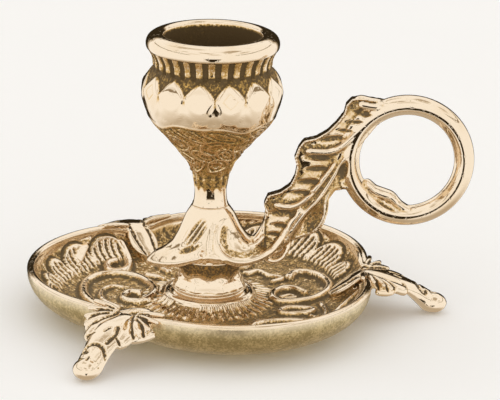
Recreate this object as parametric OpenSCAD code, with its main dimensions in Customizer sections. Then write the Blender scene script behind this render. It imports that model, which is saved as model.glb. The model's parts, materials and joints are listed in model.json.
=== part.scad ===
// Brass chamber candlestick: a three-lobed drip tray on three leaf feet, a waisted
// pedestal, a leaf handle with a finger ring, and a tulip candle cup, all clamped
// by one tie rod with a nut under the tray. Millimetres, Z up, origin on the stem
// axis at table level, handle towards +X.

/* [Candle socket] */
// Diameter of the candle that the cup takes
candle_d = 22; // [18:0.5:26]
// Gap between candle and socket wall, all round
candle_gap = 0.5; // [0.2:0.1:1]
// Depth of the socket
socket_depth = 20; // [12:1:24]

/* [Cup] */
// Height of the cup from its foot to the top of its lip
cup_h = 41.8; // [34:0.2:52]
// Height of the rounded lip
lip_h = 5.1; // [4:0.1:6.5]
// Width of the rounded lip, from socket wall to outer edge
lip_w = 4.15; // [3:0.05:6]
// Wall left outside the socket at the fluted collar
collar_wall = 2.5; // [2:0.1:4]
// Height of the fluted collar under the lip
collar_band_h = 3.9; // [3:0.1:5]
// Height of the lip's top above the widest part of the belly
belly_drop = 15.1; // [13:0.1:18]
// How far the belly stands out beyond the socket wall
belly_out = 5; // [3.5:0.1:7]
// Radius of the narrow neck
neck_r = 3.85; // [3.6:0.05:5]
// Lozenge flats round the belly, with two collar flutes to each
belly_flats = 14; // [8:1:18]

/* [Handle] */
// Height of the handle's collar, from pedestal to cup
collar_h = 12.7; // [10:0.1:16]
// Distance from the stem axis to the middle of the finger ring
ring_x = 46.3; // [40:0.1:56]
// Height of the middle of the finger ring above the table
ring_z = 38.2; // [32:0.1:46]
// Inner radius of the finger ring
ring_inner_r = 11.2; // [9:0.1:13.5]
// Radial thickness of the finger ring
ring_band = 4.8; // [3.5:0.1:6]
// Thickness of the leaf arm
arm_t = 5.2; // [4:0.1:7]
// Reach of the small leaf opposite the arm
plume_reach = 15.5; // [12:0.1:19]

/* [Pedestal] */
// Height of the pedestal
pedestal_h = 8.8; // [7:0.1:11]
// Radius of the pedestal's foot bead
pedestal_r = 8.7; // [7.5:0.1:10]
// Height of the waist above the pedestal's seat
waist_h = 3.2; // [2.8:0.1:4.5]
// Radius of the pedestal's waist
waist_r = 7.4; // [6:0.1:8.5]
// Radius of the pedestal's top, which carries the handle's collar
pedestal_top_r = 8.4; // [7.4:0.1:9.8]

/* [Tray] */
// Radius of each of the three lobes
lobe_r = 33.4; // [28:0.1:41]
// Distance from the stem axis to the middle of each lobe
lobe_offset = 10.3; // [6:0.1:13]
// Width of the tray's curved wall, seen from above
wall_run = 12.7; // [10:0.1:16]
// Height of the tray's rim above the table
rim_z = 10.7; // [9:0.1:13.5]
// Thickness of the casting
tray_wall = 1.8; // [1.4:0.1:2.6]
// Gap between the tray's underside and the table
tray_lift = 1; // [0.6:0.1:2.5]
// Radius of the polished ring that the pedestal stands in
boss_r = 10.5; // [9.6:0.1:12.5]
// Height of the pedestal's seat above the tray's floor
seat_rise = 2.4; // [1.8:0.1:4]

/* [Feet] */
// How far the middle of each toe stands out beyond the tray's edge
foot_out = 17.2; // [14:0.1:22]
// Radius of the flat pad under each toe
pad_r = 1.6; // [1.2:0.1:2]

/* [Fasteners] */
// Diameter of the tie rod
rod_d = 4; // [3:0.5:4.5]
// Gap between the tie rod and the holes that it passes through
rod_gap = 0.15; // [0.1:0.05:0.3]
// Thickness of the nut
nut_h = 2.2; // [1.8:0.1:3]
// Thickness of the washer
washer_t = 0.5; // [0.3:0.1:1]

/* [Hidden] */

$fn = 96;
brass = [0.79, 0.62, 0.33];
dark_brass = [0.62, 0.47, 0.24];
steel = [0.66, 0.66, 0.64];
eps = 0.01;

// Angles of the three feet, and of the lobes between them.
foot_angles = [-120, 0, 120];
lobe_angles = [for (a = foot_angles) a + 60];

// Levels up the stem.
floor_z = tray_lift + tray_wall;
seat_z = floor_z + seat_rise;
handle_z = seat_z + pedestal_h;
cup_z = handle_z + collar_h;
lip_z = cup_z + cup_h;

socket_r = candle_d / 2 + candle_gap;
hole_r = rod_d / 2 + rod_gap;

// A smooth curve from a to c that leaves towards b.
function bend(a, b, c, n = 8) =
    [for (i = [0 : n]) let (t = i / n) (1 - t) ^ 2 * a + 2 * t * (1 - t) * b + t ^ 2 * c];

// Points on an ellipse round m, from angle p to angle q.
function arc(m, rx, rz, p, q, n = 10) =
    [for (i = [0 : n]) let (w = p + (q - p) * i / n) [m[0] + rx * cos(w), m[1] + rz * sin(w)]];

// ---- Tray ----

lobe_flat = lobe_r - wall_run;
lip_round = 0.7;
rim_top = rim_z + lip_round;
boss_skirt = 6;
boss_ring_h = 1.1;
boss_root = 0.5;
seat_t = 1.2;
nut_pocket_r = 6.2;

// Where a foot's web is let into the tray's edge, in the notch between two lobes.
notch_r = lobe_offset * cos(60) + sqrt(lobe_r ^ 2 - (lobe_offset * sin(60)) ^ 2);
foot_reach = notch_r + foot_out;
web_w = 6;
web_in = 10;

// Wall section of one lobe, revolved about the lobe's own centre: outside, rounded
// rim, then inside.
module lobe_wall() {
    rise = rim_z - tray_lift;
    polygon(concat(
        [[0, tray_lift], [lobe_flat, tray_lift]],
        arc([lobe_flat, rim_z], wall_run, rise, -70, 0, 6),
        arc([lobe_r - lip_round, rim_z], lip_round, lip_round, 30, 90, 2),
        [[lobe_r - tray_wall, rim_top]],
        arc([lobe_flat, rim_z], wall_run - tray_wall, rise - tray_wall, 0, -70, 6),
        [[lobe_flat, floor_z], [0, floor_z]]
    ));
}

// Slot for a foot's web.
module web_slot() {
    translate([notch_r - web_in, -web_w / 2, 0]) cube([web_in + 4, web_w, rim_top + 2]);
}

// The part of the dish between two feet, with half a slot at each side.
module third(angle) {
    reach = lobe_r + lobe_offset + 5;
    side = reach * tan(60);
    rotate(angle) difference() {
        intersection() {
            translate([lobe_offset, 0, 0]) rotate_extrude() lobe_wall();
            linear_extrude(rim_top + 5) polygon([[0, 0], [reach, -side], [reach, side]]);
        }
        for (a = [-60, 60]) rotate(a) web_slot();
    }
}

module dish() {
    for (a = lobe_angles) third(a);
}

module boss() {
    rotate_extrude() polygon(concat(
        [[0, floor_z - boss_root], [boss_r + boss_skirt, floor_z - boss_root]],
        bend([boss_r + boss_skirt, floor_z + 0.1], [boss_r, floor_z], [boss_r, seat_z - boss_ring_h], 5),
        arc([boss_r - boss_ring_h, seat_z - boss_ring_h], boss_ring_h, boss_ring_h, 30, 90, 2),
        [[0, seat_z]]
    ));
}

module tray() {
    color(brass) difference() {
        union() {
            dish();
            boss();
        }
        translate([0, 0, -1]) cylinder(r = nut_pocket_r, h = seat_z - seat_t + 1);
        translate([0, 0, -1]) cylinder(r = hole_r, h = seat_z + 2);
    }
}

// ---- Feet ----

leaf_t = 2.4;
leaf_half_w = 9.5;
toe_r = 3.2;
toe_h = 3;

// Side view of a foot: a leaf over the rim that arches down to a toe.
module foot_side() {
    over_z = rim_top + leaf_t;
    heel = notch_r - web_in;
    polygon(concat(
        [[heel, tray_lift + 0.4], [heel, floor_z + 1.2]],
        bend([heel + 0.6, floor_z + 2], [notch_r - 6, over_z], [notch_r + 1, over_z], 6),
        bend([notch_r + 7, over_z], [foot_reach - 2, over_z - 3], [foot_reach + 1.5, toe_h + 2], 5),
        arc([foot_reach - 0.3, toe_h / 2], toe_r, toe_h / 2, 45, -90, 4),
        [[foot_reach - pad_r, 0]],
        bend([foot_reach - toe_r, 0.8], [foot_reach - 5, 4], [foot_reach - 6.5, rim_z - 4], 4),
        bend([notch_r + 5, rim_z - 3.4], [notch_r + 1, rim_z - 5], [heel + 5, tray_lift + 0.4], 4)
    ));
}

// Half the plan of a foot, from heel to toe: a leaf with a lobe over the rim and a
// smaller one beyond it.
function foot_edge(s) = [for (p = concat(
    [[notch_r - web_in, web_w / 2]],
    arc([notch_r + 0.5, leaf_half_w - 4], 4, 4, 150, -20, 6),
    arc([notch_r + 5.5, 2.6], 3.4, 3.4, 60, 10, 3),
    [[foot_reach - 4.5, toe_r * 0.75]],
    arc([foot_reach, 0], toe_r, toe_r, 90, 15, 4)
)) [p[0], s * p[1]]];
function reversed(list) = [for (i = [len(list) - 1 : -1 : 0]) list[i]];

module foot(angle) {
    beyond_rim = 4.2;
    side_w = leaf_half_w + 1 - web_w / 2;
    color(brass) rotate(angle) difference() {
        intersection() {
            translate([0, leaf_half_w + 1, 0]) rotate([90, 0, 0])
                linear_extrude(2 * leaf_half_w + 2) foot_side();
            translate([0, 0, -1]) linear_extrude(rim_z + 9)
                polygon(concat(foot_edge(1), reversed(foot_edge(-1))));
        }
        for (y = [web_w / 2, -web_w / 2 - side_w])
            translate([notch_r - web_in - 1, y, -2])
                cube([web_in + beyond_rim + 1, side_w, rim_top + 2]);
    }
}

// ---- Pedestal ----

module pedestal() {
    bead = 0.9;
    waist_z = seat_z + waist_h;
    color(brass) difference() {
        rotate_extrude() polygon(concat(
            [[0, seat_z], [pedestal_r - 0.5, seat_z], [pedestal_r - 0.5, seat_z + 0.5]],
            arc([pedestal_r - bead * 0.5, seat_z + 0.5 + bead * 0.6], bead * 0.5, bead * 0.6, -90, 90, 6),
            bend([pedestal_r - 0.6, seat_z + 1.9], [waist_r, waist_z - 1], [waist_r, waist_z], 5),
            bend([waist_r, waist_z], [waist_r, waist_z + 2.5], [pedestal_top_r, handle_z - 1], 5),
            [[pedestal_top_r, handle_z], [0, handle_z]]
        ));
        cylinder(r = hole_r, h = handle_z + 1);
    }
}

// ---- Handle ----

ring_mid_r = ring_inner_r + ring_band / 2;
ring_outer_r = ring_inner_r + ring_band;
collar_top_r = neck_r + 0.65;
collar_foot_r = pedestal_top_r + 0.7;
skirt_drop = 2.9;
skirt_gap = 0.3;

// The arm is drawn in its own measure: u runs from the collar's foot on the stem
// axis to the middle of the ring, and v across it, both in parts of that length.
arm_root = [0, handle_z - 1];
arm_run = [ring_x, ring_z] - arm_root;
function on_arm(u, v) = arm_root + u * arm_run + v * [-arm_run[1], arm_run[0]];
function on_ring(r, w) = [ring_x + r * cos(w), ring_z + r * sin(w)];

// Tips and hollows of the three leaf steps, from the collar up to the ring.
step_curves = [
    [[0.080, 0.080], [0.170, -0.080], [0.245, -0.010]],
    [[0.245, -0.010], [0.310, 0.030], [0.327, 0.110]],
    [[0.327, 0.110], [0.370, 0.165], [0.423, 0.127]],
    [[0.423, 0.127], [0.530, 0.140], [0.550, 0.242]],
    [[0.550, 0.242], [0.600, 0.340], [0.681, 0.283]],
    [[0.681, 0.283], [0.800, 0.270], [0.870, 0.362]],
    [[0.870, 0.362], [0.900, 0.400], [0.960, 0.360]]
];
// Back of the arm, from the ring's foot down to the collar.
back_curves = [
    [[0.713, -0.025], [0.680, 0.050], [0.610, 0.001]],
    [[0.610, 0.001], [0.575, -0.120], [0.480, -0.120]],
    [[0.480, -0.120], [0.390, -0.100], [0.340, -0.125]],
    [[0.340, -0.125], [0.300, -0.170], [0.230, -0.140]]
];
function arm_curve(c) =
    bend(on_arm(c[0][0], c[0][1]), on_arm(c[1][0], c[1][1]), on_arm(c[2][0], c[2][1]), 5);

module arm_outline() {
    polygon(concat(
        [on_arm(0.03, 0.08)],
        [for (c = step_curves) each arm_curve(c)],
        [on_ring(ring_mid_r + 1, 118)],
        arc([ring_x, ring_z], ring_mid_r, ring_mid_r, 112, 212, 12),
        [for (c = back_curves) each arm_curve(c)],
        [on_arm(0.10, -0.02)]
    ));
}

module ring() {
    translate([ring_x, 0, ring_z]) rotate([90, 0, 0]) rotate_extrude()
        translate([ring_mid_r, 0]) circle(ring_band / 2);
}

// Side view of the collar's two hanging leaves: one below the arm, one opposite.
module skirt_outline() {
    plume_z = handle_z - 1;
    hem_z = handle_z - skirt_drop;
    polygon(concat(
        bend([-collar_top_r, cup_z - 1], [-collar_foot_r, handle_z + 3], [-plume_reach + 1, plume_z + 1.2], 6),
        arc([-plume_reach + 1.4, plume_z - 0.2], 1.4, 1.4, 100, 270, 4),
        [[-pedestal_top_r - 1.2, hem_z + 0.9], [-pedestal_top_r + 1, handle_z], [pedestal_top_r - 1, handle_z]],
        bend([pedestal_top_r + 1.2, hem_z + 0.4], [pedestal_top_r + 4, hem_z - 0.4], on_arm(0.34, -0.12), 5),
        bend(on_arm(0.30, 0.01), [collar_top_r + 1, handle_z + 2.5], [collar_top_r, cup_z - 4], 6)
    ));
}

// Plan of the same leaves, each half as wide at its tip as at the stem.
module skirt_plan() {
    tip = plume_reach + 6;
    for (s = [-1, 1]) polygon([
        [0, -collar_foot_r + 0.05], [s * pedestal_top_r, -5.5], [s * tip, -arm_t / 2],
        [s * tip, arm_t / 2], [s * pedestal_top_r, 5.5], [0, collar_foot_r - 0.05]
    ]);
}

module collar() {
    rotate_extrude() polygon(concat(
        [[0, handle_z], [collar_foot_r, handle_z]],
        bend([collar_foot_r, handle_z + 0.8], [collar_top_r + 0.6, handle_z + 3],
            [collar_top_r, cup_z - 2], 6),
        [[collar_top_r, cup_z], [0, cup_z]]
    ));
}

module handle() {
    color(brass) difference() {
        union() {
            translate([0, arm_t / 2, 0]) rotate([90, 0, 0]) linear_extrude(arm_t) arm_outline();
            intersection() {
                translate([0, 20, 0]) rotate([90, 0, 0]) linear_extrude(40) skirt_outline();
                translate([0, 0, handle_z - 8]) linear_extrude(collar_h + 9) skirt_plan();
            }
            collar();
            ring();
        }
        translate([0, 0, handle_z - 10]) cylinder(r = pedestal_top_r + skirt_gap, h = 10);
        translate([0, 0, handle_z - 1]) cylinder(r = hole_r, h = collar_h + 2);
    }
}

// ---- Candle cup ----

collar_r = socket_r + collar_wall;
belly_r = socket_r + belly_out;
belly_z = lip_z - belly_drop;
flute_r = 0.85;

module candle_cup() {
    lip_r = socket_r + lip_w;
    lip_foot_z = lip_z - lip_h;
    collar_foot_z = lip_foot_z - collar_band_h;
    taper = [belly_r * 0.58, belly_z - 10.7];
    flat_at = belly_r * cos(180 / belly_flats);
    color(brass) difference() {
        rotate_extrude() polygon(concat(
            [[0, cup_z], [collar_top_r - 0.1, cup_z]],
            bend([collar_top_r - 0.2, cup_z + 0.6], [neck_r, cup_z + 2], [neck_r, cup_z + 5], 5),
            bend([neck_r, cup_z + 5], [neck_r + 0.5, cup_z + 10], taper, 8),
            bend(taper, [belly_r, belly_z - 5.5], [belly_r, belly_z], 8),
            bend([belly_r, belly_z], [belly_r, belly_z + 4], [collar_r + 0.4, collar_foot_z], 6),
            bend([collar_r + 0.4, collar_foot_z], [collar_r - 0.3, collar_foot_z + 1.5],
                [collar_r, lip_foot_z], 4),
            bend([collar_r, lip_foot_z], [lip_r, lip_foot_z + 1], [lip_r, lip_z - 1.8], 6),
            bend([lip_r, lip_z - 1.8], [lip_r - 0.2, lip_z], [socket_r + 1.4, lip_z], 6),
            [[socket_r, lip_z - 0.3], [socket_r, lip_z - socket_depth], [0, lip_z - socket_depth]]
        ));
        for (i = [0 : belly_flats - 1]) rotate(i * 360 / belly_flats)
            translate([flat_at, -belly_r / 2, belly_z - 6]) cube([3, belly_r, 12]);
        for (i = [0 : 2 * belly_flats - 1]) rotate(i * 180 / belly_flats)
            translate([collar_r + flute_r * 0.45, 0, collar_foot_z - 2])
                cylinder(r = flute_r, h = collar_band_h + 2.7);
        translate([0, 0, cup_z - 1]) cylinder(r = rod_d / 2, h = rod_thread + 1.5);
    }
}

// ---- Fasteners ----

// Length of rod screwed into the cup, and length left below the nut.
rod_thread = 9;
rod_tail = 0.2;
nut_flats = rod_d * 1.75;
washer_r = rod_d * 1.1;
clamp_z = seat_z - seat_t;
nut_z = clamp_z - washer_t - nut_h;

module tie_rod() {
    chamfer = 0.4;
    color(steel) rotate_extrude() polygon([
        [0, nut_z - rod_tail], [rod_d / 2 - chamfer, nut_z - rod_tail],
        [rod_d / 2, nut_z - rod_tail + chamfer], [rod_d / 2, cup_z + rod_thread - chamfer],
        [rod_d / 2 - chamfer, cup_z + rod_thread], [0, cup_z + rod_thread]
    ]);
}

module washer() {
    color(steel) translate([0, 0, clamp_z - washer_t]) difference() {
        cylinder(r = washer_r, h = washer_t);
        translate([0, 0, -1]) cylinder(r = hole_r, h = washer_t + 2);
    }
}

module nut() {
    corner_r = nut_flats / sqrt(3);
    chamfer = 0.35;
    color(dark_brass) translate([0, 0, nut_z]) difference() {
        intersection() {
            cylinder(r = corner_r, h = nut_h, $fn = 6);
            rotate_extrude() polygon([
                [0, 0], [corner_r - chamfer * 2, 0], [corner_r + 0.05, chamfer],
                [corner_r + 0.05, nut_h - chamfer], [corner_r - chamfer * 2, nut_h], [0, nut_h]
            ]);
        }
        translate([0, 0, -1]) cylinder(r = rod_d / 2, h = nut_h + 2);
    }
}

tray();
foot(foot_angles[0]);  // foot_front
foot(foot_angles[1]);  // foot_right
foot(foot_angles[2]);  // foot_rear
pedestal();
handle();
candle_cup();
tie_rod();
washer();
nut();
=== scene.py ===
import json
import math

import bmesh
import bpy
import numpy as np
from mathutils import Matrix, Vector


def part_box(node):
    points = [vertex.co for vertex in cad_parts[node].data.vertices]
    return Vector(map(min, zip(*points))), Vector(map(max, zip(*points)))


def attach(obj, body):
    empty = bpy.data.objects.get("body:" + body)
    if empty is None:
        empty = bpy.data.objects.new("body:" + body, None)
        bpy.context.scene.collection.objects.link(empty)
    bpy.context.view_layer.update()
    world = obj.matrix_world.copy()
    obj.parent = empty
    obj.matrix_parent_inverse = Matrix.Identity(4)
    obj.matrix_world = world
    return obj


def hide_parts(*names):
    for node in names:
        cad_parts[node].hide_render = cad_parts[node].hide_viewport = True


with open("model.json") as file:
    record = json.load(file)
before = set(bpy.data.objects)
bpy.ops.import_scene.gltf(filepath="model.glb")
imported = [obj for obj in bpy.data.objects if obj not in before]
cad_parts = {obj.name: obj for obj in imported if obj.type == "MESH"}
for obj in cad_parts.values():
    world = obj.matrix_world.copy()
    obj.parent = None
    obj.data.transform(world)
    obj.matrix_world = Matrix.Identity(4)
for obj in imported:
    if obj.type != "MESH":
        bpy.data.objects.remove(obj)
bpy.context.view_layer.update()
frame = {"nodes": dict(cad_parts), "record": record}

MM = 0.001
TURN = 2 * math.pi


# ---------------------------------------------------------------- sizes, in millimetres

def span(node):
    """A CAD node's lowest and highest corners, in millimetres."""
    low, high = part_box(node)
    return [v / MM for v in low], [v / MM for v in high]


TRAY_LOW, TRAY_HIGH = span("tray")
CUP_LOW, CUP_HIGH = span("candle_cup")
PEDESTAL_LOW, PEDESTAL_HIGH = span("pedestal")
FOOT_TIP = span("foot_right")[1][0]

SOCKET = frame["record"]["mounts"][0]["dims"]
SOCKET_R = SOCKET["r_mm"]
SOCKET_DEPTH = SOCKET["length_mm"] + 0.3

CASTING = 1.8                     # wall of the tray
BOTTOM_Z = TRAY_LOW[2]
FLOOR_Z = BOTTOM_Z + CASTING
RIM_TOP = TRAY_HIGH[2]
SEAT_Z = PEDESTAL_LOW[2]
LOBE_R = 33.4                     # radius of each of the tray's three lobes
LOBE_OFFSET = -TRAY_LOW[0] - LOBE_R
RIM_DIP = 1.9                     # how far the rim sinks in the notches between the lobes
WALL_RUN = 12.7                   # width of the tray's curved wall, seen from above
SKIRT_R = 17.0                    # outer edge of the fluted skirt round the boss
ROD_R = 2.15                      # the bore that the rod passes through
COLLAR_SEAT_R = 8.45              # the pedestal's top, under the collar


# ---------------------------------------------------------------- curves and fields

def smoothstep(low, high, value):
    t = np.clip((value - low) / (high - low), 0, 1)
    return t * t * (3 - 2 * t)


def through(points, spacing):
    """A smooth curve through the given places, with points at about the given spacing."""
    pts = np.array(points, float)
    ends = np.vstack([2 * pts[0] - pts[1], pts, 2 * pts[-1] - pts[-2]])
    rows = []
    for a, b, c, d in zip(ends, ends[1:], ends[2:], ends[3:]):
        steps = max(2, int(round(np.linalg.norm(c - b) / spacing)))
        for t in np.arange(steps) / steps:
            rows.append(0.5 * (2 * b + (c - a) * t + (2 * a - 5 * b + 4 * c - d) * t ** 2
                               + (3 * b - a - 3 * c + d) * t ** 3))
    rows.append(pts[-1])
    return np.array(rows)


def distance_to(line, points):
    """Distance from each 2-D point to a polyline, and how far along it the nearest place lies."""
    best = np.full(len(points), 1e9)
    along = np.zeros(len(points))
    count = len(line) - 1
    for i, (a, b) in enumerate(zip(line, line[1:])):
        ab = b - a
        t = np.clip((points - a) @ ab / max(ab @ ab, 1e-12), 0, 1)
        gap = np.hypot(*(points - a - t[:, None] * ab).T)
        near = gap < best
        best[near] = gap[near]
        along[near] = (i + t[near]) / count
    return best, along


def near_box(line, points, margin):
    low, high = line.min(0) - margin, line.max(0) + margin
    return np.all((points > low) & (points < high), axis=1)


def ridge(points, line, width, height, taper=0.0):
    """Height of a rounded ridge that follows a line; taper thins it towards its far end."""
    out = np.zeros(len(points))
    close = near_box(line, points, width)
    if close.any():
        gap, along = distance_to(line, points[close])
        half = width * (1 - taper * along)
        out[close] = height * (1 - taper * along * 0.5) * (1 - smoothstep(0, half, gap))
    return out


# ---------------------------------------------------------------- mesh building

def placed(name, data):
    obj = bpy.data.objects.new(name, data)
    bpy.context.scene.collection.objects.link(obj)
    return obj


def smooth_in_metres(mesh):
    """Takes a mesh drawn in millimetres to metres and shades it smooth."""
    mesh.transform(Matrix.Scale(MM, 4))
    mesh.polygons.foreach_set("use_smooth", [True] * len(mesh.polygons))


def to_mesh(name, bm):
    bmesh.ops.recalc_face_normals(bm, faces=bm.faces)
    mesh = bpy.data.meshes.new(name)
    bm.to_mesh(mesh)
    bm.free()
    return mesh


def to_object(name, bm):
    mesh = to_mesh(name, bm)
    smooth_in_metres(mesh)
    return placed(name, mesh)


def spin(bm, verts, steps, closed=False, centre=(0, 0, 0), axis=(0, 0, 1)):
    """Joins points into a line or a loop and revolves it."""
    pairs = list(zip(verts, verts[1:]))
    if closed:
        pairs.append((verts[-1], verts[0]))
    edges = [bm.edges.new(pair) for pair in pairs]
    bmesh.ops.spin(bm, geom=verts + edges, cent=centre, axis=axis, dvec=(0, 0, 0), angle=TURN,
                   steps=steps, use_merge=True, use_duplicate=False)


def spun(name, outline, steps):
    """Revolves an outline of (radius, height) round the stem. The layer 'row' keeps each point's place."""
    bm = bmesh.new()
    row = bm.verts.layers.float.new("row")
    verts = []
    for i, (r, z) in enumerate(outline):
        v = bm.verts.new((r, 0, z))
        v[row] = i
        verts.append(v)
    spin(bm, verts, steps)
    bmesh.ops.remove_doubles(bm, verts=bm.verts, dist=1e-4)
    return to_object(name, bm)


def values_of(items, field, width):
    """A row of values from every item of a mesh's list."""
    values = np.empty(len(items) * width)
    items.foreach_get(field, values)
    return values.reshape(-1, width)


def points_of(obj):
    return values_of(obj.data.vertices, "co", 3) / MM


def set_points(obj, points):
    obj.data.vertices.foreach_set("co", (points * MM).ravel())
    obj.data.update()


def normals_of(obj):
    return values_of(obj.data.vertex_normals, "vector", 3)


def rows_of(obj):
    return values_of(obj.data.attributes["row"].data, "value", 1)[:, 0]


def polar(points):
    """Each point's distance from the stem, and its direction round it."""
    return np.hypot(points[:, 0], points[:, 1]), np.arctan2(points[:, 1], points[:, 0])


def neighbour_mean(values, edges, count):
    """Mean of each point's neighbours."""
    total = np.zeros_like(values)
    for k in range(values.shape[1]):
        total[:, k] = (np.bincount(edges[:, 0], values[edges[:, 1], k], len(values))
                       + np.bincount(edges[:, 1], values[edges[:, 0], k], len(values)))
    return total / np.maximum(count, 1)[:, None]


def edges_of(obj):
    e = np.empty(len(obj.data.edges) * 2, int)
    obj.data.edges.foreach_get("vertices", e)
    e = e.reshape(-1, 2)
    return e, np.bincount(e.ravel(), minlength=len(obj.data.vertices))


def store(obj, name, values):
    layer = obj.data.attributes.new(name, "FLOAT", "POINT")
    layer.data.foreach_set("value", np.asarray(values, np.float32))


def mark_recesses(obj, fine, broad, fine_depth, broad_depth):
    """Stores how deep each point lies in a hollow, from 0 to 1."""
    points, normals = points_of(obj), normals_of(obj)
    edges, count = edges_of(obj)
    smooth = points.copy()
    depth = np.zeros(len(points))
    for i in range(1, broad + 1):
        smooth = neighbour_mean(smooth, edges, count)
        if i == fine:
            depth += 0.5 * ((smooth - points) * normals).sum(1) / fine_depth
    depth += 0.5 * ((smooth - points) * normals).sum(1) / broad_depth
    store(obj, "recess", np.clip(depth, 0, 1))


def finish_piece(obj, material, slot, *nodes):
    obj.data.materials.clear()
    obj.data.materials.append(material)
    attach(obj, "root")
    if nodes:
        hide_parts(*nodes)
    return obj


# ---------------------------------------------------------------- materials

class Graph:
    """A shader tree being built. A value is a number, a colour or another node's output."""

    def __init__(self, tree):
        self.tree = tree

    def set(self, socket, value):
        if isinstance(value, bpy.types.NodeSocket):
            self.tree.links.new(value, socket)
        else:
            socket.default_value = value

    def add(self, kind, **settings):
        node = self.tree.nodes.new(kind)
        for key, value in settings.items():
            setattr(node, key, value)
        return node

    def fed(self, kind, inputs, **settings):
        """A new node with the named inputs set."""
        node = self.add(kind, **settings)
        for name, value in inputs.items():
            self.set(node.inputs[name], value)
        return node

    def calc(self, operation, a, b=0.0):
        node = self.add("ShaderNodeMath", operation=operation)
        for socket, value in zip(node.inputs, (a, b)):
            self.set(socket, value)
        return node.outputs[0]

    def ramp(self, value, low, high, flip=False):
        """Runs smoothly from 0 to 1 while the value goes from low to high; flipped, from 1 to 0."""
        start, end = (1, 0) if flip else (0, 1)
        inputs = {"Value": value, "From Min": low, "From Max": high, "To Min": start, "To Max": end}
        return self.fed("ShaderNodeMapRange", inputs, interpolation_type="SMOOTHSTEP").outputs["Result"]

    def mix(self, factor, a, b, kind="RGBA"):
        return self.fed("ShaderNodeMix", {"Factor": factor, "A": a, "B": b}, data_type=kind).outputs["Result"]

    def noise(self, place, scale, detail, rough=0.5):
        inputs = {"Vector": place, "Scale": scale, "Detail": detail, "Roughness": rough}
        return self.fed("ShaderNodeTexNoise", inputs).outputs["Fac"]


PATINA_INPUTS = {
    "Polish Colour": (0.87, 0.735, 0.565, 1), "Warm Colour": (0.66, 0.42, 0.14, 1),
    "Patina Colour": (0.07, 0.048, 0.022, 1), "Patina": 1.0, "Polish Roughness": 0.06,
    "Patina Roughness": 0.5, "Stipple": 1.0
}
SKIN_DARK = (0.41, 0.32, 0.15, 1)
SKIN_LIGHT = (0.66, 0.53, 0.28, 1)


def patina_group():
    """Aged brass: bright where it is rubbed, brown and stippled where it lies deep."""
    group = bpy.data.node_groups.new("aged_brass", "ShaderNodeTree")
    for name, default in PATINA_INPUTS.items():
        kind = "NodeSocketColor" if name.endswith("Colour") else "NodeSocketFloat"
        group.interface.new_socket(name, in_out="INPUT", socket_type=kind).default_value = default
    for name in ("Colour", "Roughness", "Metallic", "Height"):
        kind = "NodeSocketColor" if name == "Colour" else "NodeSocketFloat"
        group.interface.new_socket(name, in_out="OUTPUT", socket_type=kind)
    g = Graph(group)
    given, result = g.add("NodeGroupInput").outputs, g.add("NodeGroupOutput").inputs
    place = g.add("ShaderNodeTexCoord").outputs["Object"]
    recess, ground_and_shade, matt = [g.add("ShaderNodeAttribute", attribute_name=name).outputs["Fac"]
                            for name in ("recess", "ground_and_shade", "matt")]
    coarse = g.noise(place, 420, 3)
    grain = g.noise(place, 1900, 3, 0.65)
    # Where the dark lies: deep places and marked ground, which also carries painted shade, broken up by two
    # sizes of noise.
    dark = g.calc("ADD", g.calc("MULTIPLY", recess, given["Patina"]), ground_and_shade)
    here = g.ramp(dark, 0.06, 0.4)
    uneven = g.calc("MULTIPLY", g.calc("SUBTRACT", coarse, 0.5), 0.35)
    dark = g.calc("ADD", dark, g.calc("MULTIPLY", uneven, here))
    speck = g.calc("SUBTRACT", g.ramp(grain, 0.36, 0.64), 0.5)
    speck = g.calc("MULTIPLY", speck, given["Stipple"])
    dark = g.calc("ADD", dark, g.calc("MULTIPLY", speck, here))
    # A faint warm cloud over the polished metal.
    cloud = g.calc("MULTIPLY", g.ramp(g.noise(place, 75, 2), 0.42, 0.7), 0.15)
    dark = g.calc("ADD", dark, cloud)
    mask = g.ramp(dark, 0.22, 0.72)
    warm = g.ramp(dark, 0.05, 0.4)
    colour = g.mix(warm, given["Polish Colour"], given["Warm Colour"])
    colour = g.mix(mask, colour, given["Patina Colour"])
    # Unpolished skin of the casting, under the tray: olive and matt, with small pits.
    spots = g.ramp(g.calc("ADD", coarse, g.calc("MULTIPLY", speck, 0.8)), 0.35, 0.7)
    g.set(result["Colour"], g.mix(matt, colour, g.mix(spots, SKIN_DARK, SKIN_LIGHT)))
    rough = g.mix(mask, given["Polish Roughness"], given["Patina Roughness"], "FLOAT")
    smear = g.calc("MULTIPLY", g.calc("MULTIPLY", coarse, warm), 0.36)
    smear = g.calc("ADD", smear, g.calc("MULTIPLY", matt, 0.36))
    g.set(result["Roughness"], g.calc("ADD", rough, smear))
    g.set(result["Metallic"], g.calc("ADD", g.calc("MULTIPLY", mask, -0.6), 1.0))
    pits = g.ramp(g.noise(place, 1300, 2), 0.3, 0.42)
    relief = g.calc("MULTIPLY", grain, g.calc("MAXIMUM", mask, matt))
    g.set(result["Height"], g.calc("ADD", relief, g.calc("MULTIPLY", pits, 0.15)))
    return group


AGED_BRASS = patina_group()


def brass(name, bump, **values):
    """A brass that uses the shared patina with its own strengths."""
    mat = bpy.data.materials.new(name)
    mat.use_nodes = True
    mat.node_tree.nodes.clear()
    g = Graph(mat.node_tree)
    out = g.add("ShaderNodeOutputMaterial")
    named = {key.replace("_", " ").title(): value for key, value in values.items()}
    patina = g.fed("ShaderNodeGroup", named, node_tree=AGED_BRASS).outputs
    relief = g.fed("ShaderNodeBump", {"Strength": bump, "Distance": 0.12 * MM, "Height": patina["Height"]})
    shader = g.fed("ShaderNodeBsdfPrincipled", {
        "Normal": relief.outputs["Normal"], "Base Color": patina["Colour"],
        "Roughness": patina["Roughness"], "Metallic": patina["Metallic"]})
    g.set(out.inputs["Surface"], shader.outputs["BSDF"])
    return mat


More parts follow.
